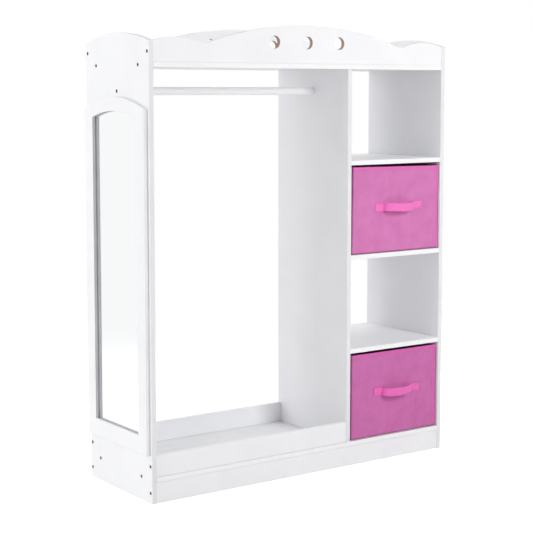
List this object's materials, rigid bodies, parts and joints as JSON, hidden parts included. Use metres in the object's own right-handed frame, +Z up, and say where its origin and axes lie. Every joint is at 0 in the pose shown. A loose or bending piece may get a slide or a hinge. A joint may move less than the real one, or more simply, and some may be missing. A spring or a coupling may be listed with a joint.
{
  "type": "dress-up storage unit",
  "caption": "Open child's wardrobe of white boards: hanging rod over a shoe tray, stacked cubbies with sliding fabric bins, wavy aprons on top and an arched mirror on one side.",
  "frame": {"origin": "middle of the base of the bounding box, mirror frame and bin handles included, on the floor plane", "axes": "+Z up, +Y to the back (the bins pull out to -Y), +X to the right seen from the front; the mirror faces -X"},
  "size_m": [0.91, 0.3214, 1.1189],
  "materials": {
    "painted_board": "white satin lacquer on fibreboard",
    "painted_rod": "white satin lacquer on a wooden dowel",
    "mirror": "polished acrylic mirror sheet",
    "screws": "dull zinc",
    "dowels": "bare beech",
    "bin_fabric": "matt pink non-woven cloth",
    "bin_trim": "bright pink woven tape",
    "bin_stiffener": "raw grey board"
  },
  "bodies": {
    "carcass": {"left_side_panel": "painted_board", "right_side_panel": "painted_board", "divider_panel": "painted_board", "top_board": "painted_board", "bottom_board": "painted_board", "upper_shelf": "painted_board", "middle_shelf": "painted_board", "lower_shelf": "painted_board", "front_apron": "painted_board", "rear_apron": "painted_board", "front_plinth": "painted_board", "rear_plinth": "painted_board", "tray_front_rail": "painted_board", "tray_rear_rail": "painted_board", "hanging_rod": "painted_rod", "mirror_frame": "painted_board", "mirror_sheet": "mirror", "left_panel_screws": "screws", "right_panel_screws": "screws", "divider_end_screws": "screws", "divider_side_screws": "screws", "mirror_frame_screws": "screws", "shelf_dowels": "dowels", "apron_dowels": "dowels", "plinth_dowels": "dowels", "tray_dowels": "dowels"},
    "upper_bin": {"upper_bin_cover": "bin_fabric", "upper_bin_lining": "bin_fabric", "upper_bin_binding": "bin_trim", "upper_bin_handle": "bin_trim", "upper_bin_front_stiffener": "bin_stiffener", "upper_bin_rear_stiffener": "bin_stiffener", "upper_bin_left_stiffener": "bin_stiffener", "upper_bin_right_stiffener": "bin_stiffener", "upper_bin_base_board": "bin_fabric"},
    "lower_bin": {"lower_bin_cover": "bin_fabric", "lower_bin_lining": "bin_fabric", "lower_bin_binding": "bin_trim", "lower_bin_handle": "bin_trim", "lower_bin_front_stiffener": "bin_stiffener", "lower_bin_rear_stiffener": "bin_stiffener", "lower_bin_left_stiffener": "bin_stiffener", "lower_bin_right_stiffener": "bin_stiffener", "lower_bin_base_board": "bin_fabric"}
  },
  "joints": [
    {"name": "upper_bin_slide", "type": "slide", "parent": "carcass", "child": "upper_bin", "axis": [0, -1, 0], "range_m": [0, 0.29]},
    {"name": "lower_bin_slide", "type": "slide", "parent": "carcass", "child": "lower_bin", "axis": [0, -1, 0], "range_m": [0, 0.29]}
  ]
}
